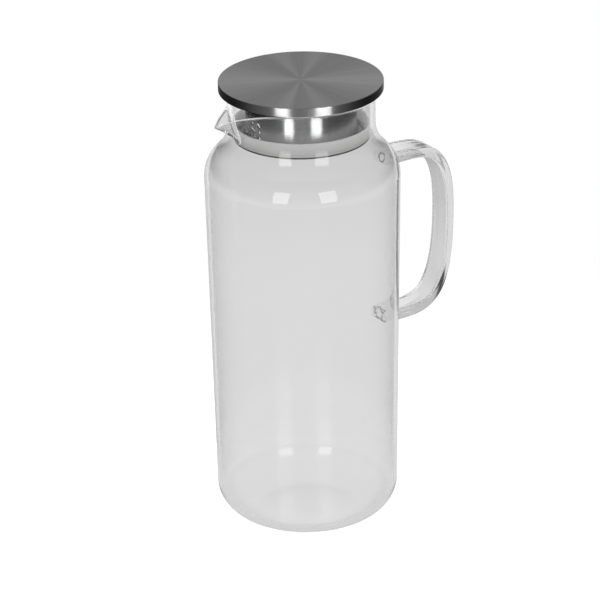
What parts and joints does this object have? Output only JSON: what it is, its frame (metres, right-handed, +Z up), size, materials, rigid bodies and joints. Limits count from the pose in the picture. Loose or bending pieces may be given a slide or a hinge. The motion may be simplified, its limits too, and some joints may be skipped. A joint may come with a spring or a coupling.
{
  "type": "glass carafe",
  "caption": "Tall clear glass carafe with rounded shoulder, pulled spout and fused strap handle, closed by a lift-out steel disc lid with strainer sleeve and silicone lip seal.",
  "frame": {"origin": "middle of the flat underside of the glass base", "axes": "+Z up along the axis of the body, +X towards the handle, -X towards the spout"},
  "size_m": [0.1589, 0.1122, 0.268],
  "materials": {
    "glass": "clear, polished",
    "lid_steel": "turned in fine circles",
    "sleeve_steel": "satin",
    "silicone": "translucent, matt"
  },
  "bodies": {
    "glass": {"glass_body": "glass", "glass_handle": "glass"},
    "seal": {"lip_seal": "silicone"},
    "lid": {"lid_cap": "lid_steel", "lid_plate": "lid_steel", "strainer_sleeve": "sleeve_steel"}
  },
  "joints": [
    {"name": "lid_lift", "type": "slide", "parent": "glass", "child": "seal", "axis": [0, 0, 1], "range_m": [0, 0.06]},
    {"name": "lid_turn", "type": "hinge", "parent": "seal", "child": "lid", "pos_m": [0, 0, 0.25], "axis": [0, 0, 1], "continuous": true}
  ]
}
